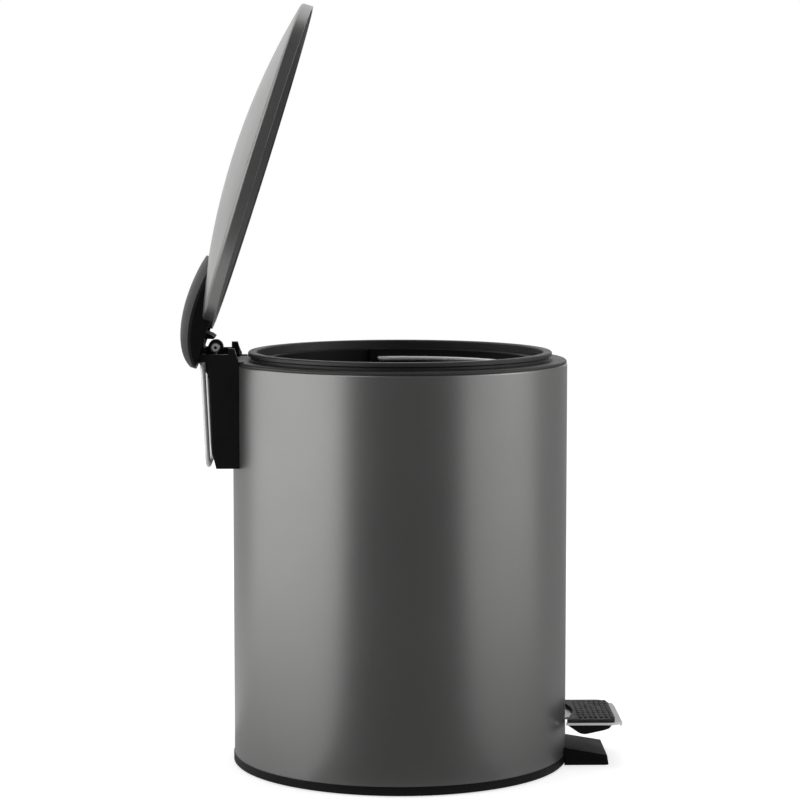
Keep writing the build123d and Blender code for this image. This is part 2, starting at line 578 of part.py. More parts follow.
def bracket_cheek(sign):
    """One side of the bracket's top: handle cheek, rim lug and hinge ear."""
    step = BRACKET_Z1 - 5.5
    shelf = HANDLE_Z - CHEEK_DROP
    cheek = [(BRACKET_REAR_TOP_X, step), (CHEEK_FRONT_X, step), (CHEEK_FRONT_X, CHEEK_TOP_Z),
             (HANDLE_X, CHEEK_TOP_Z), (HANDLE_X - HANDLE_EYE_R, HANDLE_Z - 0.8),
             (HANDLE_X - HANDLE_EYE_R + EDGE, shelf), (BRACKET_REAR_TOP_X, shelf)]
    front = [(2.1, LUG_H), (2.8, 7.6), (4.1, 4.2), (6.3, 2.5), (7.9, 2.2), (7.9, step - BODY_TOP_Z)]
    lug = [(CHEEK_FRONT_X, step), (CHEEK_FRONT_X, BODY_TOP_Z + LUG_H)] + from_rear_edge(front)
    ear = [(BRACKET_REAR_TOP_X, step), (CHEEK_FRONT_X, step), (CHEEK_FRONT_X, BRACKET_Z1),
           (HINGE_X + 8.7, BRACKET_Z1 + 2), (HINGE_X, HINGE_Z + EAR_R), (HINGE_X - EAR_R, HINGE_Z - 0.6)]
    form = slab_y(cheek, CHEEK_Y0, BRACKET_HALF)
    form += rod_y(HANDLE_X, HANDLE_Z, HANDLE_EYE_R, CHEEK_Y0, BRACKET_HALF)
    form += slab_y(lug, LUG_Y0, BRACKET_HALF)
    form += slab_y(ear, EAR_Y0, EAR_Y1)
    form += rod_y(HINGE_X, HINGE_Z, EAR_R, EAR_Y0, EAR_Y1)
    return form if sign > 0 else mirror(form, about=Plane.XZ)


def make_bracket_screws():
    """Four screws from inside the body into the bracket."""
    seat = BODY_IN_R - SEAT_GAP
    return [radial_screw(azimuth, z, seat, BRACKET_SCREW_L, SCREW_R, SCREW_HEAD_R)
            for azimuth in BRACKET_SCREW_AZIMUTHS for z in BRACKET_SCREW_ZS]


def make_hinge_pin():
    """Steel pin through the bracket's ears and the lid's barrel."""
    pin = rod_y(HINGE_X, HINGE_Z, PIN_R, -EAR_Y1 - 0.4, EAR_Y1 + 0.4)
    return pin + rod_y(HINGE_X, HINGE_Z, PIN_R + 0.9, EAR_Y1 + 0.1, EAR_Y1 + 1.0)


def make_damper_cylinder():
    """Closed cylinder of the soft-close damper, standing in the bracket."""
    floor_z = DAMPER_Z0 + DAMPER_FLOOR
    body = rod_z(DAMPER_X, DAMPER_Y, DAMPER_R, DAMPER_Z0, DAMPER_Z1)
    body = fillet(body.edges(), 0.5)
    bore = rod_z(DAMPER_X, DAMPER_Y, PISTON_HEAD_R + FIT_GAP, floor_z, DAMPER_Z1 - DAMPER_LID)
    return body - bore - rod_z(DAMPER_X, DAMPER_Y, PISTON_R + FIT_GAP, floor_z, FAR)


def make_damper_piston():
    """Piston of the damper, hung from the rod's yoke."""
    head_z = DAMPER_Z0 + DAMPER_FLOOR + RUN_GAP + ROD_RISE
    stem = rod_z(DAMPER_X, DAMPER_Y, PISTON_R, head_z, YOKE_Z0)
    return stem + rod_z(DAMPER_X, DAMPER_Y, PISTON_HEAD_R, head_z, head_z + PISTON_HEAD_H)


def make_rod_yoke():
    """Clamp on the push rod that carries the damper's piston."""
    along = hypot(DAMPER_X - ROD_X, DAMPER_Y - ROD_Y)
    turn = degrees(atan2(DAMPER_Y - ROD_Y, DAMPER_X - ROD_X))
    bar = Pos(ROD_X, ROD_Y, 0) * Rot(0, 0, turn) * block(0, along, -1.4, 1.4, YOKE_Z0, YOKE_Z0 + YOKE_T)
    yoke = bar + rod_z(DAMPER_X, DAMPER_Y, PISTON_R + 1.4, YOKE_Z0, YOKE_Z0 + YOKE_T)
    yoke += rod_z(ROD_X, ROD_Y, ROD_R + 0.4, YOKE_Z0, YOKE_Z0 + YOKE_T)
    return yoke - rod_z(ROD_X, ROD_Y, ROD_R + PRESS_GAP, 0, FAR)


def make_carry_handle():
    """Wire carry handle hanging behind the bracket."""
    low = HANDLE_Z - HANDLE_DROP
    bend = HANDLE_WIRE_R + 0.8
    path = [(HANDLE_X, -HANDLE_END_Y, HANDLE_Z), (HANDLE_X, -HANDLE_LEG_Y, HANDLE_Z),
            (HANDLE_X, -HANDLE_LEG_Y, low), (HANDLE_X, HANDLE_LEG_Y, low),
            (HANDLE_X, HANDLE_LEG_Y, HANDLE_Z), (HANDLE_X, HANDLE_END_Y, HANDLE_Z)]
    radii = [bend, HANDLE_CORNER_R, HANDLE_CORNER_R, bend]
    bow = wire(path, radii, HANDLE_WIRE_R)
    return Pos(HANDLE_X, 0, HANDLE_Z) * Rot(0, -HANDLE_LEAN, 0) * Pos(-HANDLE_X, 0, -HANDLE_Z) * bow


# --- lid group, drawn closed ----------------------------------------------------------
def lid_form(sink, low_z):
    """Solid of the lid's outside moved in by a depth, filled down to a height."""
    edge_r = LID_EDGE_R - sink
    rim_r = LID_R - sink
    corner_r = LID_R - LID_EDGE_R
    reach = DOME_R - LID_EDGE_R
    corner_z = DOME_CENTRE_Z + sqrt(reach ** 2 - corner_r ** 2)
    tangent = asin(corner_r / reach)
    touch = ((DOME_R - sink) * sin(tangent), DOME_CENTRE_Z + (DOME_R - sink) * cos(tangent))
    half = (radians(90) + tangent) / 2
    knee = (corner_r + edge_r * sin(half), corner_z + edge_r * cos(half))
    top = (0, DOME_CENTRE_Z + DOME_R - sink)
    crown = ((DOME_R - sink) * sin(tangent / 2), DOME_CENTRE_Z + (DOME_R - sink) * cos(tangent / 2))
    outline = ThreePointArc(top, crown, touch) + ThreePointArc(touch, knee, (rim_r, corner_z))
    outline += Polyline((rim_r, corner_z), (rim_r, low_z), (0, low_z), top)
    return revolve(Plane.XZ * make_face(outline), Axis.Z)


def lid_envelope(gap):
    """The closed lid as one filled form, for pieces that seat on it or pass it."""
    return lid_form(-gap, LID_Z - gap)


def make_lid_shell():
    """Domed steel lid with a folded lower edge."""
    shell = lid_form(0, LID_Z) - lid_form(STEEL_T, LID_Z - 9)
    hem_in = LID_R - HEM_W
    shell += turned([(hem_in, LID_Z), (LID_R - STEEL_T / 2, LID_Z), (LID_R - STEEL_T / 2, LID_Z + STEEL_T),
                     (hem_in, LID_Z + STEEL_T)])
    for x, y in arm_screw_points():
        shell -= arm_screw_place(x, y) * Cylinder(SCREW_R + SEAT_GAP, 20)
    return shell


def arm_screw_points():
    """Places of the screws that hold the lid arm to the dome."""
    return [(x, y) for x in ARM_SCREW_XS for y in (-ARM_SCREW_Y, ARM_SCREW_Y)]


def arm_screw_place(x, y):
    """Location on the dome, its Z along the dome's normal."""
    foot = Vector(x, y, dome_z(hypot(x, y)))
    return Location(Plane(origin=foot, z_dir=foot - Vector(0, 0, DOME_CENTRE_Z)))


def make_arm_screws():
    """Four screws from under the dome into the lid arm."""
    seat = -STEEL_T - SEAT_GAP / 2
    screw = Pos(0, 0, seat - ARM_SCREW_HEAD_H / 2) * Cylinder(SCREW_HEAD_R - 0.4, ARM_SCREW_HEAD_H)
    screw += Pos(0, 0, seat + ARM_SCREW_L / 2) * Cylinder(SCREW_R, ARM_SCREW_L)
    return [arm_screw_place(x, y) * screw for x, y in arm_screw_points()]


def make_lid_liner():
    """Moulded inner lid: dished panel, bead and sloping rim."""
    panel_top = LINER_Z0 + LINER_T
    rim_r = LID_R - STEEL_T - SEAT_GAP
    half = LINER_BEAD_W / 2
    bead_z = LINER_Z0 - LINER_BEAD_H
    return turned([
        (0, LINER_Z0), (LINER_BEAD_R - half, LINER_Z0), (LINER_BEAD_R - half / 2, bead_z),
        (LINER_BEAD_R + half / 2, bead_z), (LINER_BEAD_R + half, LINER_Z0),
        (LINER_PANEL_R, LINER_Z0), (LINER_PANEL_R + 1, LINER_RIM_Z), (rim_r, LINER_RIM_Z),
        (rim_r, LINER_RIM_Z + LINER_T), (LINER_PANEL_R + 2.8, LINER_RIM_Z + LINER_T),
        (LINER_PANEL_R + 1.8, panel_top), (0, panel_top),
    ])


def make_lid_pads():
    """Soft pads under the liner that meet the collar."""
    pad = rod_z(PAD_RING_R, 0, PAD_R, LINER_Z0 - PAD_T, LINER_Z0)
    pad = fillet(pad.edges().group_by(Axis.Z)[0], 0.5)
    return [Rot(0, 0, azimuth) * pad for azimuth in PAD_AZIMUTHS]


def arm_seat_outline(low_z, rise):
    """Side outline from a height up to the top of the arm's seat and a rise over it."""
    rear, front = ARM_SEAT_XS
    top = [(x, dome_z(x) + ARM_SEAT_T + rise) for x in (rear, front)]
    return [(rear, low_z), *top, (front, low_z)]


def make_lid_arm():
    """Moulded arm: hinge barrel, crank with its slotted eye, stop tongue and seat on the dome."""
    web = from_hinge([(-2.5, 1.9), (2.7, 7.9), (13.7, 11.1), (21.7, 10.7), (21.7, 3.5), (15.5, 3.5),
                      (15.1, -1.5), (14.3, -3.9), (13.1, -3.1), (11.7, 2.1), (7.2, 1.5), (2.5, -1.9)])
    arm = slab_y(web, -BARREL_HALF, BARREL_HALF)
    arm += slab_y(arm_seat_outline(LID_Z, 0.0), -ARM_SEAT_HALF, ARM_SEAT_HALF)
    arm += rod_y(HINGE_X, HINGE_Z, BARREL_R, -BARREL_HALF, BARREL_HALF)
    crank = Pos(CRANK_R / 2, 0, 0) * Rot(90, 0, 0) * Box(CRANK_R, 2 * BARREL_R, 2 * CRANK_HALF)
    crank += rod_y(CRANK_R, 0, EYE_R, -CRANK_HALF, CRANK_HALF)
    slot_half = EYE_PIN_R + EYE_SLOT_PLAY
    slot = block(CRANK_R - EYE_SLOT_IN, CRANK_R, -FAR, FAR, -slot_half, slot_half)
    for end in (CRANK_R - EYE_SLOT_IN, CRANK_R):
        slot += rod_y(end, 0, slot_half, -FAR, FAR)
    at_crank = Pos(HINGE_X, 0, HINGE_Z) * Rot(0, LID_OPEN - CRANK_OPEN, 0)
    arm += at_crank * crank
    arm -= at_crank * slot
    arm -= rod_y(HINGE_X, HINGE_Z, PIN_R + FIT_GAP, -FAR, FAR)
    arm -= lid_envelope(SEAT_GAP / 2)
    for x, y in arm_screw_points():
        arm -= arm_screw_place(x, y) * Cylinder(SCREW_R + PRESS_GAP, 3 * ARM_SEAT_T)
    return arm


def cap_form(sink, side_sink, low_z):
    """Crowned form of the hinge cap: elliptic along X, cambered across, trimmed in plan."""
    height = CAP_H - sink
    axis_z = CAP_Z + CAP_H - CAP_CAMBER_R
    rear = EllipticalCenterArc((CAP_X, CAP_Z), CAP_REAR - sink, height, 90, arc_size=90)
    front = EllipticalCenterArc((CAP_X, CAP_Z), CAP_FRONT - sink, height, 0, arc_size=90)
    rear_x = CAP_X - CAP_REAR + sink
    front_x = CAP_X + CAP_FRONT - sink
    base = Polyline((rear_x, CAP_Z), (rear_x, axis_z), (front_x, axis_z), (front_x, CAP_Z))
    section = Plane.XZ * make_face(rear + front + base)
    axis = Axis((0, 0, axis_z), (1, 0, 0))
    crown = revolve(section, axis, revolution_arc=30)
    crown += mirror(crown, about=Plane.XZ)
    return crown & cap_plan(side_sink, low_z)


def cap_plan(side_sink, low_z):
    """Prism of the hinge cap's outline seen from above."""
    half = CAP_HALF - side_sink
    tip_x = CAP_TIP_X - side_sink
    rear_x = CAP_X - CAP_REAR + side_sink
    corner_x = rear_x + CAP_REAR_BOW * (half / CAP_HALF) ** 2
    outline = ThreePointArc((corner_x, -half), (rear_x, 0), (corner_x, half))
    shoulder_x = tip_x - CAP_FRONT_BOW
    outline += Line((corner_x, half), (shoulder_x, half))
    outline += ThreePointArc((shoulder_x, half), (tip_x, 0), (shoulder_x, -half))
    outline += Line((shoulder_x, -half), (corner_x, -half))
    prism = Pos(0, 0, low_z) * extrude(make_face(outline), amount=CAP_H + 20)
    corner = CAP_CORNER_R - side_sink
    return fillet(prism.edges().filter_by(Axis.Z), max(corner, 1.0))


def make_cap_cover():
    """Painted outer skin of the hinge cap."""
    cover = cap_form(0, 0, CAP_LIP_Z) - cap_form(COVER_T, -5, CAP_LIP_Z - 5)
    return cover - lid_envelope(SEAT_GAP)


def make_hinge_cap():
    """Black moulded hinge cap under the cover, snapped onto the lid arm."""
    shell = cap_form(COVER_T + PRESS_GAP, 0, CAP_LIP_Z)
    roof = COVER_T + CAP_WALL
    shell -= cap_form(roof, CAP_WALL, CAP_LIP_Z - 5)
    above_seat = arm_seat_outline(FAR, SEAT_GAP)
    for y in (-CAP_POST_Y, CAP_POST_Y):
        post = rod_z(CAP_X + 1.0, y, CAP_POST_R, LID_Z, CAP_Z + CAP_H)
        post &= cap_form(COVER_T + CAP_WALL / 2, 0, CAP_LIP_Z - 5)
        shell += post & slab_y(above_seat, -FAR, FAR)
    return shell - lid_envelope(SEAT_GAP)


# --- push rod group -------------------------------------------------------------------
def make_push_rod():
    """Wire push rod: straight run in the body, jog out through the steel, flat eye on top."""
    low = ARM_TOP_Z + RUN_GAP + ROD_FOOT_R + 0.6
    points = [(ROD_IN_X, ROD_Y, low), (ROD_IN_X, ROD_Y, ROD_JOG_Z0), (ROD_X, ROD_Y, ROD_JOG_Z1),
              (ROD_X, ROD_Y, EYE_Z - ROD_EYE_R + 0.3)]
    rod = wire(points, [ROD_BEND_R, ROD_BEND_R], ROD_R)
    half = ROD_EYE_T / 2
    rod += rod_y(ROD_X, EYE_Z, ROD_EYE_R, ROD_Y - half, ROD_Y + half)
    return rod - rod_y(ROD_X, EYE_Z, EYE_PIN_R + PRESS_GAP, ROD_Y - 9, ROD_Y + 9)


def make_rod_foot():
    """Nylon foot of the push rod, resting on the lever."""
    top = ARM_TOP_Z + RUN_GAP + ROD_FOOT_R
    foot = Pos(ROD_IN_X, ROD_Y, top) * Sphere(ROD_FOOT_R)
    foot -= block(-FAR, 0, -FAR, FAR, top, FAR)
    foot += rod_z(ROD_IN_X, ROD_Y, ROD_FOOT_R, top, top + ROD_FOOT_H)
    return foot - rod_z(ROD_IN_X, ROD_Y, ROD_R + PRESS_GAP, top + 0.5, FAR)


def make_crank_pin():
    """Hollow-headed rivet pin through the rod's eye and the crank."""
    head_y = ROD_Y - ROD_EYE_T / 2
    pin = rod_y(ROD_X, EYE_Z, EYE_PIN_R, head_y - 0.4, CRANK_HALF + 1.8)
    pin += rod_y(ROD_X, EYE_Z, ROD_EYE_R - 0.7, head_y - 1.0, head_y)
    return pin - rod_y(ROD_X, EYE_Z, EYE_PIN_R - 0.4, head_y - 3, head_y + 0.6)


def make_pin_clip():
    """Push-on clip at the far end of the crank pin."""
    clip = rod_y(ROD_X, EYE_Z, ROD_EYE_R, CRANK_HALF + RUN_GAP, CRANK_HALF + RUN_GAP + 0.8)
    return clip - rod_y(ROD_X, EYE_Z, EYE_PIN_R + PRESS_GAP, -FAR, FAR)


def make_rod_guides():
    """Two guide blocks on the inside of the steel."""
    half = ROD_R + 2.6
    seat = turned([(0, 0), (BODY_IN_R - SEAT_GAP / 2, 0), (BODY_IN_R - SEAT_GAP / 2, FAR), (0, FAR)])
    guides = []
    for z in GUIDE_ZS:
        guide = block(-BODY_R, ROD_IN_X, ROD_Y - half, ROD_Y + half, z, z + GUIDE_H) & seat
        guide += rod_z(ROD_IN_X, ROD_Y, half, z, z + GUIDE_H)
        guides.append(guide - rod_z(ROD_IN_X, ROD_Y, ROD_R + FIT_GAP, 0, FAR))
    return guides


# --- pedal group ----------------------------------------------------------------------
def outside_arc(radius):
    """Everything outside a circle about the body's axis."""
    return block(0, FAR, -FAR, FAR, -FAR, FAR) - rod_z(0, 0, radius, -2 * FAR, 2 * FAR)


def make_pedal_lever():
    """Chromed lever: pedal plate with a bent lip, neck, jog and a tapering arm to the rear."""
    under = PLATE_TOP_Z - LEVER_T
    low = ARM_TOP_Z - LEVER_T
    front, lip_z = PLATE_FRONT_X, PLATE_TOP_Z - LIP_H
    bend = LEVER_T * 0.8
    skew = LEVER_T * 0.5
    strip = [(ARM_END_X, ARM_TOP_Z), (JOG_X0, ARM_TOP_Z), (JOG_X1, PLATE_TOP_Z), (front - bend, PLATE_TOP_Z),
             (front, PLATE_TOP_Z - bend), (front, lip_z), (front - LEVER_T, lip_z), (front - LEVER_T, under),
             (JOG_X1 + skew, under), (JOG_X0 + skew, low), (ARM_END_X, low)]
    lever = slab_y(strip, -PLATE_HALF, PLATE_HALF) & lever_plan()
    for side in mirrored(lever_lug(low)):
        lever += side
    return lever - rod_y(AXLE_X, AXLE_Z, AXLE_R + FIT_GAP, -FAR, FAR)


def lever_lug(low):
    """Bent-down lug of the lever round the axle."""
    y1 = ARM_HALF - 1
    y0 = y1 - LUG_T
    top_z = low + LEVER_T / 3
    outline = [(AXLE_X - LUG_R, AXLE_Z), (AXLE_X + LUG_R, AXLE_Z), (AXLE_X + LUG_R + 1.5, top_z),
               (AXLE_X - LUG_R - 1.5, top_z)]
    return slab_y(outline, y0, y1) + rod_y(AXLE_X, AXLE_Z, LUG_R, y0, y1)


def lever_plan():
    """Prism of the lever's outline seen from above."""
    plate = block(PLATE_REAR_R / 2, PLATE_FRONT_X, -PLATE_HALF, PLATE_HALF, 0, 60)
    plate = fillet(plate.edges().filter_by(Axis.Z).group_by(Axis.X)[-1], PLATE_CORNER_R)
    plate &= outside_arc(PLATE_REAR_R)
    arm_in = face_of([(ARM_END_X, -ARM_END_HALF), (AXLE_X - 8, -ARM_HALF), (JOG_X0 - 3, -ARM_HALF),
                      (JOG_X0, -NECK_HALF), (PLATE_REAR_R + 4, -NECK_HALF), (PLATE_REAR_R + 4, NECK_HALF),
                      (JOG_X0, NECK_HALF), (JOG_X0 - 3, ARM_HALF), (AXLE_X - 8, ARM_HALF),
                      (ARM_END_X, ARM_END_HALF)], Plane.XY)
    return plate + extrude(arm_in, amount=60)


def make_pedal_pad():
    """Ribbed rubber tread on the pedal plate, hollowed at the rear."""
    top = PLATE_TOP_Z + RUBBER_T
    pad = block(PLATE_REAR_R / 2, RUBBER_FRONT_X, -RUBBER_HALF, RUBBER_HALF, PLATE_TOP_Z, top)
    pad = fillet(pad.edges().filter_by(Axis.Z).group_by(Axis.X)[-1], PLATE_CORNER_R)
    pad &= outside_arc(PLATE_REAR_R + 0.4)
    pad -= rod_z(RUBBER_HOLLOW_X - RUBBER_HOLLOW_R, 0, RUBBER_HOLLOW_R, 0, FAR)
    pad = fillet(pad.faces().sort_by(Axis.Z)[-1].edges().group_by(Axis.X)[-1], 0.6)
    long_x, wide_y, high = GRIP_RIB
    x_first = RUBBER_FRONT_X - RIB_MARGIN - RIB_PITCH_X * (RIB_ROWS - 1)
    y_first = -RIB_PITCH_Y * (RIB_COLS - 1) / 2
    rib = block(-long_x / 2, long_x / 2, -wide_y / 2, wide_y / 2, top - 0.2, top + high)
    for row in range(RIB_ROWS):
        for col in range(RIB_COLS):
            pad += Pos(x_first + row * RIB_PITCH_X, y_first + col * RIB_PITCH_Y, 0) * rib
    return pad


def make_pedal_shell():
    """Keeled black shell under the pedal plate."""
    top = PLATE_TOP_Z - LEVER_T
    nose = (SHELL_X1 - SHELL_NOSE_RUN, SHELL_LOW_Z + SHELL_NOSE_H)
    keel = FilletPolyline((SHELL_X0, top), (SHELL_LOW_X, SHELL_LOW_Z), nose, (SHELL_X1, top),
                          radius=[SHELL_KEEL_R, SHELL_NOSE_RUN])
    section = Plane.XZ * make_face(keel + Line((SHELL_X1, top), (SHELL_X0, top)))
    shell = Pos(0, -SHELL_HALF, 0) * extrude(section, amount=2 * SHELL_HALF, dir=(0, 1, 0))
    plan = block(PLATE_REAR_R / 2, SHELL_X1, -SHELL_HALF, SHELL_HALF, 0, 60)
    shell &= fillet(plan.edges().filter_by(Axis.Z).group_by(Axis.X)[-1], PLATE_CORNER_R)
    shell &= outside_arc(PLATE_REAR_R + 0.4)
    for x, y in pedal_screw_points():
        shell -= rod_z(x, y, SCREW_R + PRESS_GAP, 0, FAR)
        shell -= rod_z(x, y, SCREW_HEAD_R, 0, SHELL_LOW_Z + PEDAL_SCREW_SUNK)
    return shell


def pedal_screw_points():
    """Places of the two screws that join shell, plate and tread."""
    return [(PEDAL_SCREW_X, -PEDAL_SCREW_Y), (PEDAL_SCREW_X, PEDAL_SCREW_Y)]


def make_pedal_screws():
    """Two screws from below into the pedal plate."""
    seat = SHELL_LOW_Z + PEDAL_SCREW_SUNK
    screws = []
    for x, y in pedal_screw_points():
        shank = rod_z(x, y, SCREW_R, seat - 1.0, PLATE_TOP_Z - LEVER_T)
        screws.append(shank + rod_z(x, y, SCREW_HEAD_R - 0.2, seat - 1.4, seat))
    return screws


def make_pedal_axle():
    """Steel axle of the lever."""
    return rod_y(AXLE_X, AXLE_Z, AXLE_R, -POST_Y1 - 3.0, POST_Y1 + 3.0)


def make_axle_clips():
    """Retaining rings on both ends of the axle."""
    y0 = POST_Y1 + SEAT_GAP
    clip = rod_y(AXLE_X, AXLE_Z, AXLE_R + 2.0, y0, y0 + 0.8)
    clip -= rod_y(AXLE_X, AXLE_Z, AXLE_R + PRESS_GAP, -FAR, FAR)
    return mirrored(clip)


# --- write the files ------------------------------------------------------------------
FIXED = {
    "body_shell": make_body_shell, "base": make_base, "floor_ring": make_floor_ring,
    "lever_stop": make_lever_stop, "front_foot": make_front_foot, "foot_screws": make_foot_screws,
    "top_ring": make_top_ring, "inner_bucket": make_inner_bucket, "bucket_bail": make_bucket_bail,
    "hinge_bracket": make_hinge_bracket, "bracket_screws": make_bracket_screws, "hinge_pin": make_hinge_pin,
    "damper_cylinder": make_damper_cylinder, "damper_piston": make_damper_piston,
    "rod_yoke": make_rod_yoke, "carry_handle": make_carry_handle, "push_rod": make_push_rod,
    "rod_foot": make_rod_foot, "crank_pin": make_crank_pin, "pin_clip": make_pin_clip,
    "rod_guides": make_rod_guides, "pedal_lever": make_pedal_lever, "pedal_pad": make_pedal_pad,
    "pedal_shell": make_pedal_shell, "pedal_screws": make_pedal_screws, "pedal_axle": make_pedal_axle,
    "axle_clips": make_axle_clips,
}
ON_LID = {
    "lid_shell": make_lid_shell, "lid_liner": make_lid_liner, "lid_pads": make_lid_pads,
    "lid_arm": make_lid_arm, "arm_screws": make_arm_screws, "hinge_cap": make_hinge_cap,
    "cap_cover": make_cap_cover,
}


def save(name, made, place):
    """Write one node, a single solid or a group of separate ones."""
    shape = Compound(children=[place(one) for one in made]) if isinstance(made, list) else place(made)
    export_step(shape, os.path.join("parts", name + ".step"))


def main():
    """Build every node into parts/."""
    os.makedirs("parts", exist_ok=True)
    for name, make in FIXED.items():
        save(name, make(), lambda one: one)
    for name, make in ON_LID.items():
        save(name, make(), opened)


main()
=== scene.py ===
# Pedal bin with its lid held open: finishes, light and camera.
import bpy
import json
import math
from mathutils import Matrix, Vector


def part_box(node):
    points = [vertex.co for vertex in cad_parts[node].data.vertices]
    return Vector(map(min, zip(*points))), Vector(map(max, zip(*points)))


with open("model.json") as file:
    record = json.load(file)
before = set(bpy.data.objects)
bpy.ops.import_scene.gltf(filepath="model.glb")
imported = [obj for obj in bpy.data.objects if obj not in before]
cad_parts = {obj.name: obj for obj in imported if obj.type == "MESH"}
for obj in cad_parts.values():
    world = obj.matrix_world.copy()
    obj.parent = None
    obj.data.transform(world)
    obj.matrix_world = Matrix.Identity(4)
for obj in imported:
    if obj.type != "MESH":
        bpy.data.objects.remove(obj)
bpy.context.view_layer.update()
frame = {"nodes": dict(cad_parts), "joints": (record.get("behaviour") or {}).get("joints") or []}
nodes = frame["nodes"]
print("frame loaded")

white = (1, 1, 1, 1)


def newMaterial(name):
    material = bpy.data.materials.new(name)
    material.use_nodes = True
    tree = material.node_tree
    return material, tree, tree.nodes["Principled BSDF"]


def emptyMaterial(name):
    # the stage builds its materials from nothing
    material, tree = newMaterial(name)[:2]
    tree.nodes.clear()
    return material, tree


def feed(tree, socket, value):
    # another node's output is linked, a plain value is set on the socket itself
    if isinstance(value, bpy.types.NodeSocket):
        tree.links.new(value, socket)
    else:
        socket.default_value = value


def addNode(tree, kind, inputs=None, **settings):
    node = tree.nodes.new(kind)
    for key, value in settings.items():
        setattr(node, key, value)
    for key, value in (inputs or {}).items():
        feed(tree, node.inputs[key], value)
    return node


def maths(tree, operation, *values):
    inputs = dict(enumerate(values))
    return addNode(tree, "ShaderNodeMath", inputs, operation=operation).outputs[0]


def vectorMaths(tree, operation, *values, out="Vector", **named):
    inputs = dict(enumerate(values))
    inputs.update(named)
    return addNode(tree, "ShaderNodeVectorMath", inputs, operation=operation).outputs[out]


def scaled(tree, vector, factor):
    return vectorMaths(tree, "SCALE", vector, Scale=factor)


def mixColour(tree, factor, first, second):
    # 6, 7 and 2 are the Mix node's colour sockets
    inputs = {0: factor, 6: first, 7: second}
    return addNode(tree, "ShaderNodeMix", inputs, data_type="RGBA").outputs[2]


def mixVector(tree, factor, first, second):
    # 4, 5 and 1 are its vector sockets
    inputs = {0: factor, 4: first, 5: second}
    return addNode(tree, "ShaderNodeMix", inputs, data_type="VECTOR").outputs[1]


def place(tree, stretch=(1, 1, 1)):
    # object space is the model's own frame in metres, so a grain keeps its real size
    coords = addNode(tree, "ShaderNodeTexCoord").outputs["Object"]
    mapping = addNode(tree, "ShaderNodeMapping", {"Vector": coords, "Scale": stretch})
    return mapping.outputs["Vector"]


def noise(tree, where, size, detail=2.0, roughness=0.5):
    # size is the width of one blotch, in metres; detail adds finer blotches to it
    inputs = {"Vector": where, "Scale": 1.0 / size, "Detail": detail, "Roughness": roughness}
    return addNode(tree, "ShaderNodeTexNoise", inputs).outputs["Fac"]


def spread(tree, value, low, high, fromLow=0.3, fromHigh=0.7):
    # most of a noise lies between 0.3 and 0.7
    inputs = {"Value": value, "From Min": fromLow, "From Max": fromHigh,
              "To Min": low, "To Max": high}
    return addNode(tree, "ShaderNodeMapRange", inputs).outputs["Result"]


def grey(value, warm=0.0):
    return (value * (1 + warm), value, value * (1 - warm), 1.0)


def bump(tree, height, depth, strength, under):
    # depth is in metres, under is the normal that it adds to
    inputs = {"Height": height, "Distance": depth, "Strength": strength, "Normal": under}
    return addNode(tree, "ShaderNodeBump", inputs).outputs["Normal"]


def softEdge(tree, radius):
    # catches a thin light along every edge, as a real small radius does
    return addNode(tree, "ShaderNodeBevel", {"Radius": radius}, samples=4).outputs["Normal"]


def facingUp(tree, start, full):
    # 1 where the piece's own surface looks up, 0 on its sides
    normal = addNode(tree, "ShaderNodeTexCoord").outputs["Normal"]
    height = addNode(tree, "ShaderNodeSeparateXYZ", {"Vector": normal}).outputs["Z"]
    return spread(tree, height, 0.0, 1.0, start, full)


# the lid's outer face: a sphere, a rolled edge and a band, all turned about the lid's own axis
lidForm = {"dome": 0.421, "rim": 0.1025, "roll": 0.002,
           "least": 0.0001, "alike": 0.35}  # least keeps the roll's normal from vanishing


def lidNormal(tree, plain):
    # the exact normal of the outer face keeps the long facets of the mesh out of the gloss
    hinge = next(joint for joint in frame["joints"] if joint["name"] == "lid_hinge")
    turn = math.radians(abs(hinge["range_deg"][0]))
    axis = Vector((-math.sin(turn), 0, math.cos(turn)))
    apex = max((vertex.co for vertex in nodes["lid_shell"].data.vertices), key=axis.dot)
    rollRing = lidForm["rim"] - lidForm["roll"]
    rollHeight = math.sqrt((lidForm["dome"] - lidForm["roll"]) ** 2 - rollRing ** 2)

    fromCentre = vectorMaths(tree, "SUBTRACT", place(tree), apex - axis * lidForm["dome"])
    height = vectorMaths(tree, "DOT_PRODUCT", fromCentre, axis, out="Value")
    outward = vectorMaths(tree, "SUBTRACT", fromCentre, scaled(tree, axis, height))
    radius = vectorMaths(tree, "LENGTH", outward, out="Value")

    # above the roll's middle the edge turns over, below it the band is upright
    side = maths(tree, "SUBTRACT", radius, rollRing)
    side = maths(tree, "MAXIMUM", side, lidForm["least"])
    rise = maths(tree, "MAXIMUM", maths(tree, "SUBTRACT", height, rollHeight), 0)
    away = scaled(tree, vectorMaths(tree, "NORMALIZE", outward), side)
    rolled = vectorMaths(tree, "ADD", away, scaled(tree, axis, rise))
    slope = maths(tree, "DIVIDE", radius, height)
    onDome = maths(tree, "LESS_THAN", slope, rollRing / rollHeight)
    exact = mixVector(tree, onDome, vectorMaths(tree, "NORMALIZE", rolled),
                      vectorMaths(tree, "NORMALIZE", fromCentre))
    exact = addNode(tree, "ShaderNodeVectorTransform", {"Vector": exact}, vector_type="NORMAL",
                    convert_from="OBJECT", convert_to="WORLD").outputs[0]

    # the inner face and the turned-in lip look another way and keep their plain normal
    alike = vectorMaths(tree, "DOT_PRODUCT", exact, plain, out="Value")
    outside = maths(tree, "GREATER_THAN", alike, lidForm["alike"])
    return mixVector(tree, outside, plain, exact)


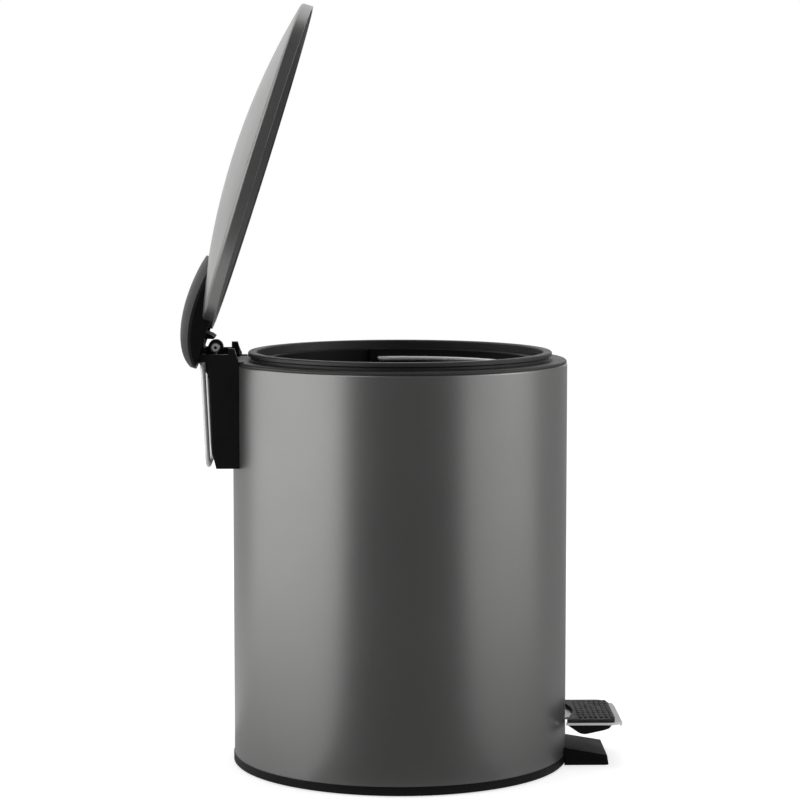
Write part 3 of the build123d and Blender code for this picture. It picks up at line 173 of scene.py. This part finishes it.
# in all finishes a texture is its size, detail and roughness, as noise() takes them, a bump is
# its depth and strength, a pair of tones or roughnesses is the least and the most, and edge is
# the radius of the soft edges; lengths are in metres
steelPaint = {"colour": 0.36, "warm": 0.008, "metal": 0.92, "rough": (0.31, 0.36), "edge": 0.0003,
              "flakes": (0.00025, 1.0), "flakeTone": (0.93, 1.07), "flakeBump": (0.00001, 0.25),
              "clouds": (0.06, 3.0), "cloudTone": 0.97, "cloudShare": 0.5,
              "peel": (0.0022, 2.0), "peelBump": (0.00002, 0.3)}


def makeSteelPaint(name, domed=False):
    # fine metal flakes, faint clouds and the orange peel of a sprayed coat
    material, tree, shader = newMaterial(name)
    where = place(tree)
    flakes, clouds, peel = (noise(tree, where, *steelPaint[texture])
                            for texture in ("flakes", "clouds", "peel"))

    dark, light, dull = (grey(steelPaint["colour"] * tone, steelPaint["warm"])
                         for tone in (*steelPaint["flakeTone"], steelPaint["cloudTone"]))
    tone = mixColour(tree, spread(tree, flakes, 0, 1), dark, light)
    tone = mixColour(tree, spread(tree, clouds, 0, steelPaint["cloudShare"]), tone, dull)
    feed(tree, shader.inputs["Base Color"], tone)
    feed(tree, shader.inputs["Metallic"], steelPaint["metal"])
    feed(tree, shader.inputs["Roughness"], spread(tree, clouds, *steelPaint["rough"]))

    smooth = softEdge(tree, steelPaint["edge"])
    if domed:
        smooth = lidNormal(tree, smooth)
    normal = bump(tree, flakes, *steelPaint["flakeBump"], smooth)
    feed(tree, shader.inputs["Normal"], bump(tree, peel, *steelPaint["peelBump"], normal))
    return material


# what all the plastics share: the grain is the mould's texture, the dust is how much the smears
# lighten the colour, and dustTone is how far, times and plus
moulding = {"grain": (0.0006, 2.0), "grainBump": (0.00003, 0.4), "smears": (0.02, 4.0, 0.6),
            "dust": 0.15, "dustTone": (1.8, 0.003), "warm": 0.0, "roughSpan": (0.92, 1.15),
            "edge": 0.0003}
plastics = {
    "mattBlack": {"colour": 0.0045, "rough": 0.45, "sheen": 0.3},
    "dullBlack": {"colour": 0.006, "rough": 0.6, "sheen": 0.12,
                  "grain": (0.0009, 2.0), "grainBump": (0.00006, 0.4)},
    "glossBlack": {"colour": 0.004, "rough": 0.25, "sheen": 0.35,
                   "grain": (0.003, 2.0), "grainBump": (0.00002, 0.4), "dust": 0.1},
    "ringBlack": {"colour": 0.014, "rough": 0.5, "sheen": 1.0,
                  "grain": (0.002, 2.0), "grainBump": (0.00002, 0.4), "dust": 0.1},
    "baseBlack": {"colour": 0.004, "rough": 0.45, "sheen": 0.25, "dust": 0.1},
    "bucketBlack": {"colour": 0.006, "rough": 0.45, "sheen": 0.2},
    "coverGrey": {"colour": 0.016, "rough": 0.42, "sheen": 0.25, "warm": 0.01, "dust": 0.2},
    "linerGrey": {"colour": 0.14, "rough": 0.5, "sheen": 0.2},
    "nylon": {"colour": 0.6, "rough": 0.45, "sheen": 0.5, "warm": 0.02, "dust": 0.1},
}


def makePlastic(name, ownValues):
    plastic = {**moulding, **ownValues}
    material, tree, shader = newMaterial(name)
    where = place(tree)
    grain = noise(tree, where, *plastic["grain"])
    smears = noise(tree, where, *plastic["smears"])
    times, plus = plastic["dustTone"]
    clean = grey(plastic["colour"], plastic["warm"])
    dusty = grey(plastic["colour"] * times + plus, plastic["warm"])
    tone = mixColour(tree, spread(tree, smears, 0, plastic["dust"]), clean, dusty)
    feed(tree, shader.inputs["Base Color"], tone)
    feed(tree, shader.inputs["Specular IOR Level"], plastic["sheen"])
    smooth, rough = (plastic["rough"] * share for share in plastic["roughSpan"])
    feed(tree, shader.inputs["Roughness"], spread(tree, smears, smooth, rough))
    normal = bump(tree, grain, *plastic["grainBump"], softEdge(tree, plastic["edge"]))
    feed(tree, shader.inputs["Normal"], normal)
    return material


# what all the metals share: rubs across the upright rod and wires, as drawing and handling
# leave them
drawing = {"stretch": (1, 1, 12), "rubs": (0.004, 4.0, 0.65), "rubTone": 0.96,
           "rubBump": (0.00001, 0.15), "roughSpan": (0.7, 1.4), "edge": 0.0002}
metals = {
    "chrome": {"colour": 0.82, "rough": 0.12, "metallic": 0.9},
    "wire": {"colour": 0.9, "rough": 0.35, "metallic": 0.6},
    "zinc": {"colour": 0.55, "rough": 0.3, "metallic": 1.0},
}


def makeMetal(name, ownValues):
    metal = {**drawing, **ownValues}
    material, tree, shader = newMaterial(name)
    rubs = noise(tree, place(tree, metal["stretch"]), *metal["rubs"])
    dull, bright = grey(metal["colour"] * metal["rubTone"]), grey(metal["colour"])
    feed(tree, shader.inputs["Base Color"], mixColour(tree, spread(tree, rubs, 0, 1), dull, bright))
    feed(tree, shader.inputs["Metallic"], metal["metallic"])
    smooth, rough = (metal["rough"] * share for share in metal["roughSpan"])
    feed(tree, shader.inputs["Roughness"], spread(tree, rubs, smooth, rough))
    normal = bump(tree, rubs, *metal["rubBump"], softEdge(tree, metal["edge"]))
    feed(tree, shader.inputs["Normal"], normal)
    return material


# the plate's top is satin; its edges are painted near-white and nearly non-metal, a painted
# highlight in place of lamp light on them; here a pair is the painted edge highlight, then the top
plateSteel = {"colour": (0.92, 0.15), "rough": (0.45, 0.24), "metal": (0.15, 0.95), "warm": 0.01,
              "worn": 1.5, "wornShare": 0.35, "stretch": (1, 6, 1), "rubs": (0.003, 4.0, 0.65),
              "rubBump": (0.00001, 0.15), "edge": 0.0002,
              "facing": (0.55, 0.85)}  # how far a surface looks up where the top's finish starts


def makePlateSteel(name):
    material, tree, shader = newMaterial(name)
    up = facingUp(tree, *plateSteel["facing"])
    rubs = noise(tree, place(tree, plateSteel["stretch"]), *plateSteel["rubs"])
    # painted highlight: the plate's sides get the near-white edge colour, its top keeps its own
    # satin colour
    edgeHighlight, top = plateSteel["colour"]
    base = mixColour(tree, up, grey(edgeHighlight), grey(top, plateSteel["warm"]))
    share = spread(tree, rubs, 0, plateSteel["wornShare"])
    worn = mixColour(tree, share, base, grey(top * plateSteel["worn"]))
    feed(tree, shader.inputs["Base Color"], mixColour(tree, up, base, worn))
    feed(tree, shader.inputs["Metallic"], spread(tree, up, *plateSteel["metal"], 0, 1))
    feed(tree, shader.inputs["Roughness"], spread(tree, up, *plateSteel["rough"], 0, 1))
    normal = bump(tree, rubs, *plateSteel["rubBump"], softEdge(tree, plateSteel["edge"]))
    feed(tree, shader.inputs["Normal"], normal)
    return material


# the end of the pin is painted: a near-white, non-metal colour as a painted highlight, with a dark
# dot in its middle as painted shade
pinEnd = {"colour": 0.95, "dark": 0.03, "rough": (0.4, 0.52), "metal": 0.0,
          "dot": 0.0008, "ring": 0.0011, "rubs": (0.001, 2.0), "edge": 0.0002}


def makePinEnd(name):
    material, tree, shader = newMaterial(name)
    low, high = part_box("crank_pin")
    away = vectorMaths(tree, "SUBTRACT", place(tree), (low + high) / 2)
    across = vectorMaths(tree, "MULTIPLY", away, (1, 0, 1))  # the pin lies along y
    radius = vectorMaths(tree, "LENGTH", across, out="Value")
    # painted shade inside the dot, painted highlight from its ring outwards
    dot = spread(tree, radius, 0, 1, pinEnd["dot"], pinEnd["ring"])
    tone = mixColour(tree, dot, grey(pinEnd["dark"]), grey(pinEnd["colour"]))
    feed(tree, shader.inputs["Base Color"], tone)
    feed(tree, shader.inputs["Metallic"], pinEnd["metal"])
    rubs = noise(tree, place(tree), *pinEnd["rubs"])
    feed(tree, shader.inputs["Roughness"], spread(tree, rubs, *pinEnd["rough"]))
    feed(tree, shader.inputs["Normal"], softEdge(tree, pinEnd["edge"]))
    return material


rubber = {"clean": 0.016, "dusty": 0.042, "dustWarm": 0.03, "dust": 0.7, "sheen": 0.35,
          "rough": (0.5, 0.75), "pores": (0.0004, 2.0), "poreBump": (0.00005, 0.5),
          "smears": (0.006, 4.0, 0.6), "edge": 0.0003}


def makeRubber(name):
    material, tree, shader = newMaterial(name)
    where = place(tree)
    pores = noise(tree, where, *rubber["pores"])
    smears = noise(tree, where, *rubber["smears"])
    tone = mixColour(tree, spread(tree, smears, 0, rubber["dust"]), grey(rubber["clean"]),
                     grey(rubber["dusty"], rubber["dustWarm"]))
    feed(tree, shader.inputs["Base Color"], tone)
    feed(tree, shader.inputs["Specular IOR Level"], rubber["sheen"])
    feed(tree, shader.inputs["Roughness"], spread(tree, smears, *rubber["rough"]))
    normal = bump(tree, pores, *rubber["poreBump"], softEdge(tree, rubber["edge"]))
    feed(tree, shader.inputs["Normal"], normal)
    return material


finishes = {
    "steelPaint": makeSteelPaint("steelPaint"),
    "lidPaint": makeSteelPaint("lidPaint", domed=True),
    **{name: makePlastic(name, values) for name, values in plastics.items()},
    **{name: makeMetal(name, values) for name, values in metals.items()},
    "plateSteel": makePlateSteel("plateSteel"),
    "pinEnd": makePinEnd("pinEnd"),
    "rubber": makeRubber("blackRubber"),
}
print(len(finishes), "finishes made")

wears = {
    "steelPaint": ["body_shell"],
    "lidPaint": ["lid_shell"],
    "mattBlack": ["hinge_bracket", "damper_cylinder", "rod_yoke"],
    "dullBlack": ["front_foot", "lid_arm"],
    "glossBlack": ["hinge_cap", "pedal_shell"],
    "ringBlack": ["top_ring"],
    "baseBlack": ["base"],
    "bucketBlack": ["inner_bucket"],
    "coverGrey": ["cap_cover"],
    "linerGrey": ["lid_liner"],
    "nylon": ["rod_foot", "rod_guides"],
    "chrome": ["push_rod"],
    "wire": ["carry_handle", "bucket_bail"],
    "zinc": ["foot_screws", "bracket_screws", "hinge_pin", "damper_piston", "pin_clip",
             "pedal_screws", "pedal_axle", "axle_clips", "arm_screws"],
    "plateSteel": ["pedal_lever"],
    "pinEnd": ["crank_pin"],
    "rubber": ["pedal_pad", "floor_ring", "lever_stop", "lid_pads"],
}

for finish, members in wears.items():
    for member in members:
        mesh = nodes[member].data
        mesh.materials.clear()
        mesh.materials.append(finishes[finish])
dressed = {member for members in wears.values() for member in members}
print("finishes on", len(dressed), "nodes, left:", sorted(set(nodes) - dressed))

# floorLift and whiteOut are what the camera sees, ambient is the light on the bin
stage = {"floorSize": 8.0, "floorTone": 0.62, "clouds": (0.5, 2.0), "cloudTone": 0.98,
         "floorLift": 0.66, "ambient": 0.55, "whiteOut": 1.0}


def stageObject(name, points, faces, material):
    mesh = bpy.data.meshes.new(name)
    mesh.from_pydata(points, [], faces)
    mesh.materials.append(material)
    item = bpy.data.objects.new(name, mesh)
    bpy.context.scene.collection.objects.link(item)
    return item


def seenDirectly(tree):
    # 1 for rays that show the background, 0 for the light that falls on the bin
    path = addNode(tree, "ShaderNodeLightPath").outputs
    both = maths(tree, "MAXIMUM", path["Is Camera Ray"], path["Is Glossy Ray"])
    return maths(tree, "MAXIMUM", both, path["Is Transmission Ray"])


def makeFloor():
    # a pale floor that keeps the shadow, lifted towards white for the camera alone
    material, tree = emptyMaterial("paleFloor")
    path = addNode(tree, "ShaderNodeLightPath").outputs
    clouds = noise(tree, place(tree), *stage["clouds"])
    pale = stage["floorTone"]
    colour = mixColour(tree, clouds, grey(pale), grey(pale * stage["cloudTone"]))
    lit = addNode(tree, "ShaderNodeBsdfDiffuse", {"Color": colour})
    lift = maths(tree, "MULTIPLY", path["Is Camera Ray"], stage["floorLift"])
    glow = addNode(tree, "ShaderNodeEmission", {"Color": white, "Strength": lift})
    both = addNode(tree, "ShaderNodeAddShader", {0: lit.outputs[0], 1: glow.outputs[0]})
    addNode(tree, "ShaderNodeOutputMaterial", {"Surface": both.outputs[0]})
    half = stage["floorSize"] / 2
    corners = [(-half, -half, 0), (half, -half, 0), (half, half, 0), (-half, half, 0)]
    stageObject("floor", corners, [(0, 1, 2, 3)], material)


def makeWorld():
    world = bpy.data.worlds.new("studio")
    bpy.context.scene.world = world
    world.use_nodes = True
    tree = world.node_tree
    tree.nodes.clear()
    soft, bright = (addNode(tree, "ShaderNodeBackground", {"Color": white, "Strength": level})
                    for level in (stage["ambient"], stage["whiteOut"]))
    mix = addNode(tree, "ShaderNodeMixShader",
                  {0: seenDirectly(tree), 1: soft.outputs[0], 2: bright.outputs[0]})
    addNode(tree, "ShaderNodeOutputWorld", {"Surface": mix.outputs[0]})


# flags round the bin shape the soft bands on the steel, as in a product studio; angles run from
# the front of the stage towards the pedal, tones are near the bin and far from it
flags = {
    "flagFront": {"angles": (-38, 41), "near": 0.08, "far": 0.08},
    "flagLeft": {"angles": (-118, -38), "near": 0.35, "far": 1.1},
    "flagBackLeft": {"angles": (-146, -118), "near": 0.7, "far": 0.4},
    "flagRight": {"angles": (41, 100), "near": 0.15, "far": 0.68},
    "flagBackRight": {"angles": (100, 152), "near": 0.3, "far": 0.3},
}
# each flag is a fan on the floor and the wall on its outer edge; its tone settles at fadeEnd
fan = {"start": 0.113, "end": 3.2, "lift": 0.002, "wall": 2.6, "fadeEnd": 1.1, "steps": 12}
# the dark sheet overhead keeps the rim of the open lid dark
roof = {"tone": 0.06, "left": -0.9, "right": 2.4, "front": -3.4, "back": 1.5}


def fanShape(first, last):
    rings = ((fan["start"], fan["lift"]), (fan["end"], fan["lift"]), (fan["end"], fan["wall"]))
    points, faces = [], []
    for step in range(fan["steps"] + 1):
        turn = math.radians(first + (last - first) * step / fan["steps"])
        for radius, height in rings:
            points.append((radius * math.sin(turn), -radius * math.cos(turn), height))
    perStep = len(rings)
    for step in range(fan["steps"]):
        for ring in range(perStep - 1):
            low = perStep * step + ring
            faces.append((low, low + 1, low + perStep + 1, low + perStep))
    return points, faces


def roofShape():
    points = [(roof[x], roof[y], fan["wall"]) for x, y in
              (("left", "front"), ("right", "front"), ("right", "back"), ("left", "back"))]
    return points, [(0, 1, 2, 3)]


def hangFlag(name, shape, near, far):
    material, tree = emptyMaterial(name)
    length = vectorMaths(tree, "LENGTH", place(tree), out="Value")
    tone = spread(tree, length, near, far, fan["start"], fan["fadeEnd"])
    glow = addNode(tree, "ShaderNodeEmission", {"Color": white, "Strength": tone})
    addNode(tree, "ShaderNodeOutputMaterial", {"Surface": glow.outputs[0]})
    item = stageObject(name, *shape, material)
    # only reflections see it
    item.visible_camera = False
    item.visible_diffuse = False
    item.visible_shadow = False
    item.visible_transmission = False


def makeFlags():
    for name, flag in flags.items():
        hangFlag(name, fanShape(*flag["angles"]), flag["near"], flag["far"])
    hangFlag("flagRoof", roofShape(), roof["tone"], roof["tone"])


# seen says if the lamp shows in reflections
lamps = {
    "leftBox": {"at": (-1.7, -0.35, 0.95), "size": (1.2, 1.6), "watts": 7.5, "seen": False},
    "rightBox": {"at": (1.75, -0.3, 0.9), "size": (0.8, 1.2), "watts": 4.0, "seen": True},
    "topBox": {"at": (0.0, 0.2, 2.2), "size": (1.4, 1.4), "watts": 12.0, "seen": False},
}
lampTarget = Vector((0, 0, 0.2))  # just under the middle of the bin with its lid up


def makeLamps():
    for name, lamp in lamps.items():
        light = bpy.data.lights.new(name, "AREA")
        light.shape = "RECTANGLE"
        light.size, light.size_y = lamp["size"]
        light.energy = lamp["watts"]
        item = bpy.data.objects.new(name, light)
        bpy.context.scene.collection.objects.link(item)
        item.location = lamp["at"]
        aim = lampTarget - Vector(lamp["at"])
        item.rotation_euler = aim.to_track_quat("-Z", "Y").to_euler()
        item.visible_camera = False
        item.visible_glossy = lamp["seen"]


# side is the turn of the view towards the rear of the bin; angles in degrees, lens in mm
view = {"side": 1.3, "distance": 1.661, "height": 0.3826, "tilt": 5.47,
        "lens": 122.2, "sensor": 36.0, "clipEnd": 30}


def makeCamera():
    camera = bpy.data.cameras.new("camera")
    camera.lens = view["lens"]
    camera.sensor_width = view["sensor"]
    camera.clip_end = view["clipEnd"]
    item = bpy.data.objects.new("camera", camera)
    bpy.context.scene.collection.objects.link(item)
    turn, reach = math.radians(view["side"]), view["distance"]
    item.location = (-reach * math.sin(turn), -reach * math.cos(turn), view["height"])
    item.rotation_euler = (math.radians(90 - view["tilt"]), 0, -turn)
    bpy.context.scene.camera = item


makeFloor()
makeWorld()
makeFlags()
makeLamps()
makeCamera()
bpy.context.scene.view_settings.view_transform = "Standard"
print("stage, lamps and camera ready")
